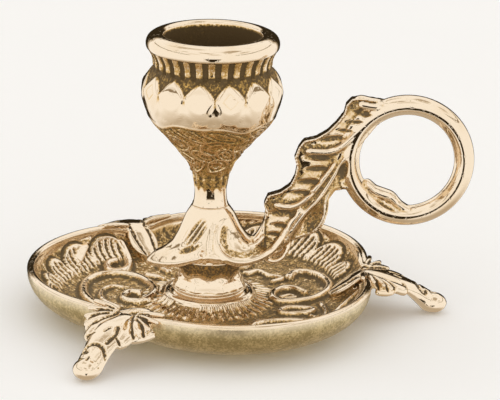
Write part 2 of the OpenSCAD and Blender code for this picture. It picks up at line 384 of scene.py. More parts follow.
def plain(name, colour, roughness, metallic=1.0):
    mat = bpy.data.materials.new(name)
    mat.use_nodes = True
    shader = mat.node_tree.nodes["Principled BSDF"]
    shader.inputs["Base Color"].default_value = colour
    shader.inputs["Metallic"].default_value = metallic
    shader.inputs["Roughness"].default_value = roughness
    return mat


# ---------------------------------------------------------------- candle cup

def cup_outline():
    """Outside of the cup from its foot to the lip, then down the socket: (radius, height)."""
    foot, top = CUP_LOW[2], CUP_HIGH[2]
    outside = through([
        (4.4, foot), (4.05, foot + 1), (3.85, foot + 3.4), (4.05, foot + 6), (4.75, foot + 8.3),
        (5.8, foot + 10.7), (7.7, foot + 13.2), (9.8, foot + 15.8), (12.0, foot + 18.3),
        (14.1, foot + 20.7), (15.6, foot + 23.4), (16.45, foot + 26.6), (16.2, foot + 29.6),
        (15.2, foot + 32.0), (14.2, foot + 33.8), (14.1, top - 6.4), (14.4, top - 5.2), (14.9, top - 4.2),
        (15.15, top - 3.6)], 0.26)
    lip = through([
        (15.15, top - 3.6), (15.5, top - 3.35), (15.68, top - 2.7), (15.6, top - 1.8), (15.1, top - 0.9),
        (14.1, top - 0.28), (12.9, top), (12.0, top - 0.12), (SOCKET_R, top - 0.6)], 0.24)
    socket_floor = top - SOCKET_DEPTH
    inside = [(SOCKET_R, z) for z in np.linspace(top - 1.5, socket_floor + 0.6, 14)]
    bottom = [(SOCKET_R - 0.2, socket_floor + 0.15), (SOCKET_R - 0.8, socket_floor)]
    bottom += [(r, socket_floor) for r in (8, 5, 2)]
    base = [(0.01, foot), (2, foot), (3.6, foot)]
    return base, list(outside) + list(lip[1:]) + inside + bottom + [(0.01, socket_floor)]


LOZENGES = 14
FLUTES = 30
BELLY_R = 16.3
# Rows of leaf cells under the belly: (height above the cup's foot, half height, cells around).
LEAF_ROWS = [(20.4, 2.0, 10), (17.2, 2.1, 9), (13.9, 2.0, 8), (10.8, 1.8, 7)]


def cup_relief(theta, r, z):
    """How far the cup's outside moves out, and how much dark ground it carries."""
    foot, top = CUP_LOW[2], CUP_HIGH[2]
    step = TURN / LOZENGES
    phase = ((theta + TURN / 4 - 0.043) / step) % 1.0 - 0.5
    drift = 0.16 * np.sin(3 * theta + 1) + 0.12 * np.sin(5 * theta)
    # Polished lozenges round the belly; stippled gaps above them, smooth bulges below.
    up = (z - foot - 29.5 - drift) / 3.7
    sideways = np.abs(phase) * 1.92
    diamond = (sideways ** 1.15 + np.abs(up) ** 1.15) ** (1 / 1.15)
    bulge = (sideways ** 1.5 + np.abs(up * 0.62) ** 1.5) ** (1 / 1.5)
    spread = np.where(up > 0, diamond, bulge)
    inside = np.where(up > 0, smoothstep(0.0, 0.16, 1 - spread), smoothstep(0.0, 0.16 - 0.5 * up, 1 - spread))
    flat = BELLY_R / np.cos(phase * step) - BELLY_R * 1.006
    out = inside * (flat + 0.26 - 0.10 * up * up)
    gap = smoothstep(0.0, 0.12, spread - 1) * smoothstep(-0.15, 0.1, up)
    under = smoothstep(0.0, 0.4, spread - 1) * smoothstep(0.0, 0.3, -up)
    fade_low = smoothstep(foot + 22.5, foot + 24.5, z)
    collar_low = 1 - smoothstep(top - 7.9, top - 7.1, z)
    out -= 0.34 * gap * collar_low + 0.10 * under * fade_low
    inner = 1 - smoothstep(0.03, 0.12, np.abs(diamond - 0.45))
    out -= 0.09 * inner * smoothstep(-0.2, 0.4, np.sin(5 * theta + 2) + 0.4 * up)
    # Flutes under the lip, narrow dark slots between golden ribs.
    slot = smoothstep(0.42, 0.72, 0.5 + 0.5 * np.cos(FLUTES * theta + 0.4 * np.sin(3 * theta)))
    band = smoothstep(top - 7.9, top - 7.1, z + 0.5 * slot) * (1 - smoothstep(top - 3.9, top - 3.45, z))
    out -= band * 0.6 * slot
    # Leaf cells below the belly: rows of tilted ovals with a rolled border, a heart and fine veins.
    height = (z - foot - 6.5) / 14.5
    line = np.zeros(len(z))
    for j, (level, half, around) in enumerate(LEAF_ROWS):
        turn = theta + 0.7 * height + 0.35 * j + 0.10 * np.sin(3 * theta + 2 * j)
        pitch = TURN / around
        across = ((turn / pitch + 0.5) % 1.0 - 0.5) * 2.15
        rise = (z - foot - level - 0.55 * np.sin(2 * theta + 1.7 * j)) / half
        tilted = rise - 0.55 * across * (1 if j % 2 else -1)
        leaf = np.sqrt(across ** 2 * (1.0 + 0.5 * tilted) + tilted ** 2)
        rim = 1 - smoothstep(0.05, 0.2, np.abs(leaf - 0.9))
        heart = 1 - smoothstep(0.05, 0.18, np.abs(leaf - 0.42))
        veins = smoothstep(0.25, 0.8, np.sin(9 * across + 5 * tilted)) * (leaf < 0.85) * (leaf > 0.5)
        line = np.maximum(line, np.maximum(np.maximum(rim, 0.7 * heart), 0.45 * veins))
    hatching = np.sin(40 * theta + 6 * z) * np.sin(4.2 * z - 9 * theta)
    line = np.maximum(line, 0.25 * smoothstep(0.2, 0.9, hatching))
    leaf_top = foot + 22.4 + 0.7 * np.cos(4 * theta + 1.0) + 0.4 * np.sin(8 * theta)
    leaf_zone = smoothstep(0, 0.4, leaf_top - z) * smoothstep(foot + 6.4, foot + 8.0, z)
    border = 1 - smoothstep(0.25, 0.6, np.abs(leaf_top - 0.3 - z))
    line = np.maximum(line, border)
    out += leaf_zone * (0.40 * line - 0.26)
    # Short flutes where the foliage meets the neck, and faint facets on the neck.
    reed = 0.5 + 0.5 * np.cos(13 * theta)
    low = smoothstep(foot + 4.4, foot + 5.8, z + 0.6 * reed) * (1 - smoothstep(foot + 7.6, foot + 9.0, z))
    out += low * (0.26 * reed - 0.12)
    out -= (1 - smoothstep(foot + 4, foot + 7, z)) * 0.07 * np.cos(8 * theta)
    ground_and_shade = leaf_zone * (0.25 - 0.08 * line)
    ground_and_shade = np.maximum(ground_and_shade, 0.56 * gap * collar_low * (1 - band))
    ring_dark = smoothstep(top - 10.2, top - 8.6, z) * (1 - smoothstep(top - 7.6, top - 7.0, z))
    ground_and_shade = np.maximum(ground_and_shade, 0.66 * ring_dark * (1 - inside))
    ground_and_shade = np.maximum(ground_and_shade, band * (0.24 + 0.50 * slot))
    ground_and_shade = np.maximum(ground_and_shade, low * (0.24 + 0.30 * (1 - reed)))
    return out, ground_and_shade


def make_cup():
    base, outline = cup_outline()
    obj = spun("candle_cup_casting", base + outline, 390)
    points = points_of(obj)
    row = rows_of(obj)
    r, theta = polar(points)
    lip_row = row[r > 15.6].max()
    outside = (row >= len(base)) & (r > 3.6) & (points[:, 2] < CUP_HIGH[2] - 3.45)
    outside &= ~((np.abs(r - SOCKET_R) < 0.35) & (points[:, 2] > CUP_HIGH[2] - SOCKET_DEPTH - 1)
                 & (row > lip_row))
    moved, ground_and_shade = cup_relief(theta[outside], r[outside], points[outside, 2])
    grown = (r[outside] + moved) / r[outside]
    points[outside, 0] *= grown
    points[outside, 1] *= grown
    set_points(obj, points)
    mark_recesses(obj, 3, 14, 0.09, 0.5)
    marks = np.zeros(len(points))
    marks[outside] = ground_and_shade
    inside = (row > lip_row) & (r < SOCKET_R + 0.1) & (points[:, 2] < CUP_HIGH[2] - 0.7)
    marks[inside] = 0.85
    store(obj, "ground_and_shade", marks)
    return obj


# ---------------------------------------------------------------- pedestal

def make_pedestal():
    low, high = PEDESTAL_LOW[2], PEDESTAL_HIGH[2]
    outline = [(ROD_R, low), (5, low)] + list(through([
        (8.0, low), (8.35, low + 0.15), (8.6, low + 0.45), (8.35, low + 0.75)], 0.12))
    outline += list(through([
        (8.3, low + 0.8), (8.65, low + 1.0), (8.7, low + 1.3), (8.45, low + 1.55)], 0.12))
    outline += list(through([
        (8.5, low + 1.7), (8.3, low + 2.1), (7.75, low + 3.2), (7.4, low + 4.6), (7.55, low + 6),
        (8.1, low + 7.4), (8.4, high - 0.6), (8.45, high)], 0.2))
    outline += [(5, high), (ROD_R, high), (ROD_R, low)]
    obj = spun("pedestal_casting", outline, 288)
    points = points_of(obj)
    r, theta = polar(points)
    z = points[:, 2]
    side = (r > 6.5) & (z > low + 1.65) & (z < high - 0.1)
    step = TURN / 8
    phase = ((theta + math.radians(90)) / step + 0.5) % 1.0 - 0.5
    flat = (1 / np.cos(phase * step) - 1.03) * 8.0
    lower = 1 - smoothstep(low + 3.6, low + 5.2, z)
    moved = flat * lower - 0.22 * (1 - lower) * smoothstep(low + 3.6, low + 4.4, z)
    r[side] += moved[side]
    points[:, 0], points[:, 1] = r * np.cos(theta), r * np.sin(theta)
    set_points(obj, points)
    mark_recesses(obj, 3, 12, 0.06, 0.4)
    marks = np.zeros(len(points))
    arch = low + 4.4 + 1.1 * np.abs(phase) * 2
    marks[side] = (0.6 * smoothstep(0, 1.2, z - arch))[side]
    store(obj, "ground_and_shade", marks)
    return obj


# ---------------------------------------------------------------- tray

def rim_radius(theta):
    """The tray's three-lobed edge, with the notches between the lobes a little softened."""
    total = 0
    for lobe in (60, 180, 300):
        away = theta - math.radians(lobe)
        ahead = LOBE_OFFSET * np.cos(away)
        across = LOBE_OFFSET * np.sin(away)
        total = total + np.clip(ahead + np.sqrt(LOBE_R ** 2 - across ** 2), 1, None) ** 70
    return total ** (1 / 70) - 0.12


def tray_outline(edge):
    """The tray's section, drawn for a round tray with the given radius."""
    rise, inner_run = RIM_TOP - 0.9 - FLOOR_Z, WALL_RUN - CASTING
    outline = [(ROD_R, SEAT_Z), (5, SEAT_Z), (8.6, SEAT_Z), (8.95, SEAT_Z - 0.25)]
    outline += list(through([(9.1, SEAT_Z - 0.3), (9.5, SEAT_Z + 0.05), (10.1, SEAT_Z + 0.05),
                             (10.7, SEAT_Z - 0.35), (11.1, SEAT_Z - 1.0)], 0.16))
    outline += list(through([(11.2, SEAT_Z - 1.15), (12.2, FLOOR_Z + 0.85), (14, FLOOR_Z + 0.45),
                             (SKIRT_R, FLOOR_Z)], 0.3))
    floor_end = edge - WALL_RUN
    outline += [(r, FLOOR_Z) for r in np.linspace(SKIRT_R, floor_end, 36)[1:]]
    for a in np.linspace(-90, -4, 44)[1:]:
        outline.append((floor_end + inner_run * math.cos(math.radians(a)),
                        RIM_TOP - 0.9 + rise * math.sin(math.radians(a))))
    lip = edge - 0.95
    for a in np.linspace(175, 0, 11):
        outline.append((lip + 0.95 * math.cos(math.radians(a)),
                        RIM_TOP - 0.9 + 0.9 * math.sin(math.radians(a))))
    for a in np.linspace(-8, -90, 16):
        outline.append((floor_end + WALL_RUN * math.cos(math.radians(a)),
                        RIM_TOP - 0.9 + (rise + CASTING) * math.sin(math.radians(a))))
    outline += [(r, BOTTOM_Z) for r in (20, 14, 9, 6.2)]
    outline += [(6.2, SEAT_Z - 1.2), (ROD_R, SEAT_Z - 1.2), (ROD_R, SEAT_Z)]
    return outline


# Shells on the wall of each lobe: (middle, half width, height above the floor), in degrees and mm.
SHELLS = [
    (24.5, 5.5, 4.2), (38.5, 8.0, 5.9), (54.5, 9.0, 6.6), (72, 7.5, 5.6),
    (136.5, 8.0, 6.4), (151.5, 7.5, 6.2), (164.5, 5.5, 5.2), (174.5, 4.5, 4.0),
    (204, 5.5, 4.2), (215, 6.5, 5.2), (264, 5.5, 4.6), (276, 7.5, 5.9), (291, 8.5, 6.4), (307, 7.5, 6.0),
    (321, 6.0, 5.0)
]

# Raised scrolls seen from above: (places, half width, height, taper). They fade out up the wall.
FLOOR_SCROLLS = [
    ([(-26, -9), (-28.8, -4), (-30.2, 1.5), (-30, 8), (-27.4, 12.8), (-22.8, 14.6), (-18, 12.8), (-14.8, 8.6),
      (-13.2, 3.2), (-13.8, -2), (-16.4, -5), (-19.6, -4.6), (-20.6, -1.6), (-19.2, 1.2), (-16.8, 1)],
     1.9, 1.5, 0.3),
    ([(-21.5, -8.6), (-24.6, -5), (-26, -0.4), (-25.4, 3.8), (-23.2, 5.6), (-20.8, 4.8)], 1.3, 1.0, 0.4),
    ([(-33, 17.5), (-31.8, 22.4), (-29.4, 27.2), (-26.2, 29), (-22.6, 27.6), (-20.4, 23), (-20.4, 17.8),
      (-22.6, 15.4), (-24.9, 16.8), (-25.4, 20.2), (-23.8, 21.8)], 2.0, 1.6, 0.2),
    ([(-15, 14.2), (-12.4, 12.8), (-11, 10.6)], 1.5, 1.1, 0.5),
    ([(-21.4, -13.8), (-17.8, -11.8), (-14.6, -12.2), (-12.8, -15.6), (-12.8, -20.6), (-15.2, -23.4),
      (-17.2, -21), (-15.9, -17.6)], 1.5, 1.4, 0.3),
    ([(19.6, 13.8), (21, 17), (24.2, 17.4), (27.6, 14.4), (29.4, 8.8), (28.6, 3.4), (25.4, -0.8), (21.6, -3),
      (17.2, -3.8), (15.4, -1.4), (15.8, 2.8), (18, 5.6), (21, 5.2), (23.2, 2.6)], 1.8, 1.5, 0.25),
    ([(17.4, 0.2), (19.4, 1.6), (20.8, 0.2), (18.4, -0.8)], 0.9, 0.8, 0.2),
    ([(17, -9.4), (19, -7.7), (22, -7.6), (24.8, -8.6), (23.4, -10.8), (19.4, -11.8), (17.2, -10.9),
      (17, -9.2)],
     1.2, 1.2, 0.0),
    ([(9.5, -21.2), (11.2, -18.2), (15, -16.6), (19, -16.2), (23, -16.8), (21.6, -19.2), (15.4, -21.6),
      (10.6, -23), (9.5, -21)], 1.4, 1.2, 0.0),
    ([(9, 16.5), (12.2, 18.2), (14.8, 15), (18, 13.2), (15.4, 10.4)], 1.5, 1.1, 0.4),
    ([(-2, 18.5), (-3, 23), (1, 27), (7, 27), (10, 23), (7.4, 19.8), (4.4, 21.4), (5.4, 23.6)],
     1.6, 1.3, 0.3),
    ([(-8, -18), (-8.6, -24), (-5, -28.6), (1, -28.6), (3.6, -24.6), (1, -21.2), (-2.4, -22.6), (-1.6, -25)],
     1.5, 1.3, 0.3),
    ([(26.8, -4), (27.8, -9), (26.4, -14), (23.8, -12.4)], 1.1, 0.9, 0.5),
    ([(-10, 17), (-12.5, 22), (-10, 27), (-6, 28)], 1.5, 1.1, 0.5),
]
# Rolled lips that climb the wall.
WALL_SCROLLS = [
    ([(27.4, -25), (28.4, -17.4), (31, -10.2), (34.8, -7.2), (36.9, -10.2), (35.8, -16.2), (32.8, -21.6),
      (29, -26), (27.2, -24)], 1.2, 1.1, 0.0),
    ([(-34.4, -4.4), (-30.4, -9.6), (-26.4, -14.8), (-23, -18.8)], 1.6, 1.0, 0.4),
    ([(-38.6, 1.5), (-37.6, -4.5), (-34.4, -10.5)], 1.3, 0.8, 0.5),
    ([(6, 37), (1, 35), (-3, 33.6), (-8, 34)], 1.3, 0.9, 0.4),
]


def tray_relief(theta, r, z):
    """How far the inside of the tray rises, and how much dark ground it carries, with painted shade towards
    its right side.
    """
    plan = np.stack([r * np.cos(theta), r * np.sin(theta)], 1)
    x, y = plan.T
    rise = z - FLOOR_Z
    degrees = np.degrees(theta) % 360
    out = np.zeros(len(r))
    light = np.zeros(len(r))
    for scrolls, fade in ((FLOOR_SCROLLS, 1 - smoothstep(4.0, 6.5, rise)), (WALL_SCROLLS, 1.0)):
        for places, width, height, taper in scrolls:
            bump = ridge(plan, through(places, 0.8), width, height, taper) * fade
            bump = height * smoothstep(0.02, 0.75, bump / height)
            out = np.maximum(out, bump)
            light = np.maximum(light, smoothstep(0.35, 0.9, bump / height))
    # Shells: scalloped arches with narrow grooves that run down the wall.
    top = np.zeros(len(r))
    groove = np.zeros(len(r))
    for middle, half, height in SHELLS:
        slant = (degrees - middle + 0.6 * (rise - 3)) / half
        arch = height * np.clip(1 - np.abs(slant) ** 2.4, 0, 1) ** 0.45 * (np.abs(slant) < 1)
        better = arch > top
        top = np.maximum(top, arch)
        lines = 0.5 + 0.5 * np.cos(TURN * (slant * 0.5 + 0.5) * round(half * 0.75))
        groove = np.where(better, smoothstep(0.45, 0.9, lines), groove)
    in_shell = smoothstep(0, 0.3, top - rise) * smoothstep(0.5, 1.3, rise) * (top > 0)
    border = smoothstep(0.7, 1.5, top - rise)
    shell = in_shell * (1.0 - 0.55 * groove * border)
    out = np.maximum(out, shell)
    light = np.maximum(light, in_shell * (1 - 0.9 * groove * border))
    above = smoothstep(-0.9, -0.2, top - rise) * (1 - smoothstep(-0.1, 0.1, top - rise)) * (top > 0)
    out -= 0.25 * above * (1 - np.clip(light, 0, 1))
    # Fluted skirt round the boss.
    skirt = smoothstep(11.1, 11.9, r) * (1 - smoothstep(SKIRT_R - 2.0, SKIRT_R, r))
    flute = 0.5 + 0.5 * np.cos(46 * theta + 0.35 * np.sin(5 * theta))
    out = out + skirt * 0.42 * flute * (1 - np.clip(light, 0, 1))
    light = np.maximum(light, 0.8 * skirt * flute)
    # Uneven ground between the scrolls.
    lumps = np.sin(1.3 * x + np.sin(0.9 * y)) * np.sin(1.5 * y + np.sin(1.1 * x))
    hammered = (0.16 * lumps + 0.07 * np.sin(3.9 * x + 2 * lumps) * np.sin(4.3 * y)) * smoothstep(11.1, 13, r)
    on_wall = smoothstep(5.0, 6.6, rise)
    out += hammered * (1 - np.clip(light, 0, 1)) * (1 - on_wall)
    # Painted shade: the ground grows darker towards +X, where the floor lies in shadow and dark reflections;
    # the rest is the ground's own dark colour, lighter on the raised scrolls.
    ground_and_shade = np.clip(0.31 + 0.10 * smoothstep(0, 20, x) - 0.6 * light, 0, 1) * (1 - on_wall)
    ground_and_shade = np.maximum(ground_and_shade, 0.55 * above * (1 - light))
    ground_and_shade *= smoothstep(10.9, 11.6, r)
    return out, ground_and_shade


def make_tray():
    edge = 40.0
    obj = spun("tray_casting", tray_outline(edge), 640)
    points, row = points_of(obj), rows_of(obj)
    r, theta = polar(points)
    z = points[:, 2].copy()
    rim = rim_radius(theta)
    floor_end = edge - WALL_RUN
    stretched = np.where(
        r <= SKIRT_R, r,
        np.where(r >= floor_end, r - edge + rim,
                 SKIRT_R + (r - SKIRT_R) * (rim - WALL_RUN - SKIRT_R) / (floor_end - SKIRT_R)))
    lip_row = row[z > RIM_TOP - 0.01].max()
    inside = (row < lip_row - 4) & (stretched > 11.1)
    flat = inside & (z < RIM_TOP - 1.1)
    moved, ground_and_shade = tray_relief(theta[flat], stretched[flat], z[flat])
    # The wall's own normal leans from straight up on the floor to straight in at the rim.
    lean = np.clip((r[flat] - floor_end) / (WALL_RUN - CASTING), 0, 1)
    steep = np.sqrt(1 - lean ** 2)
    z[flat] += moved * steep
    stretched[flat] -= moved * lean
    # The rim dips where the feet grip it.
    from_notch = (np.degrees(theta) + 60) % 120 - 60
    dip = RIM_DIP * np.exp(-(from_notch / 9) ** 2)
    z -= dip * smoothstep(FLOOR_Z + 1, RIM_TOP, z) * (stretched > SKIRT_R)
    points[:, 0], points[:, 1], points[:, 2] = stretched * np.cos(theta), stretched * np.sin(theta), z
    set_points(obj, points)
    mark_recesses(obj, 3, 12, 0.11, 1.6)
    marks = np.zeros(len(points))
    marks[flat] = ground_and_shade
    store(obj, "ground_and_shade", marks)
    store(obj, "matt", smoothstep(lip_row + 3, lip_row + 7, row))
    return obj


# ---------------------------------------------------------------- cast leaves: bars fused together

ALONG_Y = np.array((0.0, 1.0, 0.0))
ALONG_Z = np.array((0.0, 0.0, 1.0))


def bar(bm, places, up):
    """Adds a bar with rounded ends through places (x, y, z, half breadth, half thickness)."""
    path = through(places, 0.45)
    count = len(path)
    centre = path[:, :3]
    ahead = np.gradient(centre, axis=0)
    ahead /= np.linalg.norm(ahead, axis=1)[:, None]
    side = np.cross(up, ahead)
    side /= np.linalg.norm(side, axis=1)[:, None]
    over = np.cross(ahead, side)
    walked = np.concatenate([[0], np.cumsum(np.linalg.norm(np.diff(centre, axis=0), axis=1))])
    to_end = np.minimum(walked, walked[-1] - walked)
    size = np.maximum(path[:, 3:5].max(1), 0.3)
    round_off = np.sqrt(np.clip(1 - np.clip(1 - to_end / size, 0, 1) ** 2, 0.02, 1))
    verts = bmesh.ops.create_uvsphere(bm, u_segments=18, v_segments=count + 1, radius=1)["verts"]
    for v in verts:
        turn = math.atan2(v.co.y, v.co.x)
        polar = math.acos(max(-1.0, min(1.0, v.co.z))) / math.pi * (count + 1)
        i = min(max(int(round(polar)) - 1, 0), count - 1)
        reach = 0.0 if abs(v.co.z) > 0.999999 else round_off[i]
        place = (centre[i] + side[i] * (path[i, 3] * reach * math.cos(turn))
                 + over[i] * (path[i, 4] * reach * math.sin(turn)))
        v.co = Vector(place)


def mirrored_bar(bm, places, up):
    bar(bm, places, up)
    bar(bm, [(p[0], -p[1]) + tuple(p[2:]) for p in places], up)


def flat_bar(bm, places, raise_z=0.0):
    """A bar in the handle's own plane: places are (x, z, half breadth, half thickness)."""
    bar(bm, [(x, 0, z + raise_z, breadth, thick) for x, z, breadth, thick in places], ALONG_Y)


def plate(bm, outline, half):
    """A flat plate in the handle's plane."""
    face = bm.faces.new([bm.verts.new((x, -half, z)) for x, z in outline])
    made = bmesh.ops.extrude_face_region(bm, geom=[face], use_keep_orig=True)["geom"]
    moved = [v for v in made if isinstance(v, bmesh.types.BMVert)]
    bmesh.ops.translate(bm, vec=(0, 2 * half, 0), verts=moved)
    bmesh.ops.recalc_face_normals(bm, faces=bm.faces)


def fuse(name, bm, grain, rounds):
    """Melts overlapping closed forms into one skin and relaxes it."""
    rough = placed(name, to_mesh(name, bm))
    skin = rough.modifiers.new("skin", "REMESH")
    skin.mode = "VOXEL"
    skin.voxel_size = grain
    skin.adaptivity = 0
    graph = bpy.context.evaluated_depsgraph_get()
    melted = bpy.data.meshes.new_from_object(rough.evaluated_get(graph))
    bpy.data.objects.remove(rough)
    smooth_in_metres(melted)
    obj = placed(name, melted)
    points = points_of(obj)
    edges, count = edges_of(obj)
    for _ in range(rounds):
        points += 0.5 * (neighbour_mean(points, edges, count) - points)
        points -= 0.35 * (neighbour_mean(points, edges, count) - points)
    set_points(obj, points)
    return obj


def hollow(x, z, place, half_long, half_high, tilt):
    """1 in the middle of a tilted oval, 0 outside it."""
    a = math.radians(tilt)
    u = ((x - place[0]) * math.cos(a) + (z - place[1]) * math.sin(a)) / half_long
    v = (-(x - place[0]) * math.sin(a) + (z - place[1]) * math.cos(a)) / half_high
    return 1 - smoothstep(0.3, 1.1, np.sqrt(u * u + v ** 2))


# ---------------------------------------------------------------- handle

RING_X, RING_Z = 46.3, 38.2
RING_R = 16.5                     # just outside the ring
FACE_RAISE = 0.36                 # how far the folds and the midrib sit above their drawn places
EDGE_THICKNESS = 0.8
FOLD_BREADTH = 1.2

# The collar's hem, by the angle from the arm: (degrees, reach, height).
HEM = [(0, 15.0, 15.0), (15, 14.3, 14.8), (30, 12.4, 14.3), (45, 10.9, 14.3), (60, 9.9, 14.9),
       (75, 9.3, 15.6), (90, 9.05, 15.9), (105, 9.05, 15.6), (120, 9.4, 14.8), (135, 10.2, 13.8),
       (150, 11.3, 13.0), (165, 13.2, 12.4), (175, 14.9, 12.2), (180, 15.2, 12.2)]
# The collar's side from neck to hem, as shares of its drop and its reach.
PLUME_SIDE = [(0, 0), (0.16, 0.13), (0.31, 0.21), (0.48, 0.30), (0.67, 0.44), (0.81, 0.65), (0.89, 0.86),
              (1, 1)]
BELL_SIDE = [(0, 0), (0.2, 0.12), (0.5, 0.38), (0.8, 0.74), (1, 1)]

# The arm's outline in the handle's plane, as (x, z): front edge upwards, then back edge downwards.
ARM_TOP = [(2.5, 22), (4.6, 20.2), (5.4, 18.3), (7.2, 17.6), (9.6, 17.9), (11.5, 19.4), (12.6, 22.2),
           (13.3, 24.8), (12.7, 27.0), (13.6, 29.2), (16.5, 30.1), (18.8, 31.8), (19.9, 34.1), (20.3, 36.6),
           (19.7, 38.6), (20.6, 41.2), (21.8, 42.9), (24.7, 43.6), (27.4, 45.3), (29.7, 47.8), (31.1, 49.8),
           (31.5, 51.8), (32.8, 53.3), (35, 53.6), (38.2, 53.2), (43, 52.4)]
ARM_BACK = [(35.0, 42), (33.0, 38), (34.5, 34), (36.5, 31), (40, 27.8), (42, 25.4), (40.4, 25.7),
            (35.5, 28.2), (33.6, 30.1), (31.9, 31.2), (29.5, 30.8), (28.2, 28.8), (28.0, 25.5), (27.3, 23.0),
            (26.2, 21.0), (24.2, 19.8), (20.4, 18.6), (17.5, 16.4), (13.5, 14.6), (9.0, 14.2), (3.0, 15.0)]

# Bars on the arm: (x, z, half breadth, half thickness).
STEP_EDGES = [
    [(4.2, 23.5, 1.0, 2.4), (4.9, 19.9, 0.9, 2.4), (6.1, 17.7, 0.8, 2.6), (8.2, 16.9, 0.8, 2.6),
     (10.6, 17.9, 0.8, 2.4), (12.3, 20.2, 0.8, 2.2), (13.6, 23.4, 0.8, 2.1), (13.8, 26.2, 0.9, 2.2)],
    [(14.4, 28.8, 1.0, 2.2), (17.0, 29.3, 0.8, 2.1), (19.5, 31.1, 0.8, 2.1), (20.8, 34.0, 0.8, 2.1),
     (21.1, 36.6, 0.8, 2.1), (20.8, 38.6, 0.9, 2.2)],
    [(21.5, 41.6, 1.0, 2.2), (24.9, 42.9, 0.8, 2.0), (28.0, 44.8, 0.8, 2.0), (30.5, 47.6, 0.8, 2.0),
     (32.0, 50.1, 0.8, 2.0), (32.6, 51.8, 0.9, 2.2)],
]
FOLDS = [
    [(13.9, 27.3, 1.1, 2.0), (15.6, 26.8, 1.2, 2.6), (17.9, 26.3, 1.1, 2.7), (20.2, 26.7, 1.0, 2.7),
     (22.3, 28.1, 0.95, 2.7), (24.4, 30.5, 0.9, 2.7), (26.6, 33.5, 0.85, 2.7), (28.4, 36.2, 0.8, 2.7),
     (29.8, 38.4, 0.75, 2.6)],
    [(21.0, 39.6, 1.1, 2.0), (22.6, 40.2, 1.2, 2.5), (25.4, 40.1, 1.1, 2.6), (28.2, 40.3, 1.05, 2.7),
     (30.8, 41.7, 1.0, 2.7), (33.2, 44.0, 0.95, 2.6), (36.0, 47.0, 0.9, 2.5), (38.6, 49.4, 0.9, 2.4)],
    [(32.9, 51.9, 1.2, 2.0), (34.6, 51.9, 1.5, 2.4), (37.6, 51.4, 1.4, 2.4), (41.0, 51.2, 1.3, 2.4)],
]
MIDRIB = [(8.0, 13.2, 1.0, 5.0), (12.0, 13.6, 1.0, 4.0), (15.4, 15.2, 1.0, 3.2), (18.2, 18.2, 0.95, 2.8),
          (20.3, 21.6, 0.9, 2.6), (22.6, 25.0, 0.9, 2.5), (25.4, 28.2, 0.9, 2.5), (27.6, 31.6, 0.8, 2.4),
          (29.6, 35.2, 0.8, 2.4), (31.4, 38.4, 0.8, 2.4), (33.0, 41.0, 0.9, 2.4), (35.6, 44.6, 0.9, 2.4)]
SHEATHS = [
    [(19.0, 18.4, 0.7, 1.9), (21.8, 19.4, 0.8, 2.0), (24.0, 20.5, 0.9, 2.1), (25.8, 22.0, 0.95, 2.2),
     (26.9, 24.6, 0.95, 2.2), (27.2, 27.8, 0.9, 2.2), (28.3, 30.6, 0.8, 2.1), (30.6, 31.9, 0.7, 2.0),
     (33.0, 31.3, 0.7, 2.0), (35.2, 29.4, 0.7, 1.9)],
    [(31.9, 39.6, 0.6, 2.4), (32.5, 36.4, 0.7, 2.3), (34.0, 32.9, 0.8, 2.3), (36.2, 29.8, 0.85, 2.2),
     (39.4, 27.3, 0.9, 2.2), (43.2, 25.2, 0.9, 2.1), (47.0, 23.6, 0.8, 2.0)],
    [(36.6, 33.4, 0.9, 1.6), (38.6, 31.0, 1.2, 1.9), (41.0, 29.9, 1.35, 2.0), (42.9, 29.2, 1.25, 1.9),
     (44.8, 27.4, 1.0, 1.9), (47.4, 26.0, 0.8, 1.8), (50.0, 25.8, 0.6, 1.6)],
]
# Hollows between the folds: (middle, half length, half height, tilt in degrees).
ARM_HOLLOWS = [
    ((17.2, 24.2), 3.3, 1.15, 2), ((16.5, 21.3), 2.0, 0.75, 3), ((15.2, 19.1), 1.8, 0.55, 3),
    ((25.4, 38.1), 3.8, 0.9, 0), ((24.9, 35.4), 2.9, 0.85, 8), ((23.2, 32.2), 3.0, 0.9, 8),
    ((21.6, 29.5), 2.9, 0.7, 5), ((35.4, 49.4), 2.4, 0.9, -8), ((33.5, 47.2), 2.1, 0.5, 8),
    ((31.2, 45.0), 1.8, 0.45, 3), ((28.4, 42.9), 3.5, 0.85, 12), ((24.0, 22.6), 3.6, 1.9, 62),
    ((31.1, 35.0), 2.7, 1.3, 75), ((41.6, 26.9), 2.6, 0.55, -32)
]
# Ribs between the collar's feathers, as (x, z).
FEATHERS = [
    [(-2.7, 22.8), (-4.6, 20.5), (-6.2, 17.4)], [(-1.7, 22.4), (-3.7, 19.6), (-5.8, 16.8)],
    [(-0.9, 21.9), (-2.9, 19.0), (-4.9, 16.2)], [(-0.6, 20.2), (-1.9, 18.2), (-3.8, 15.9)]
]


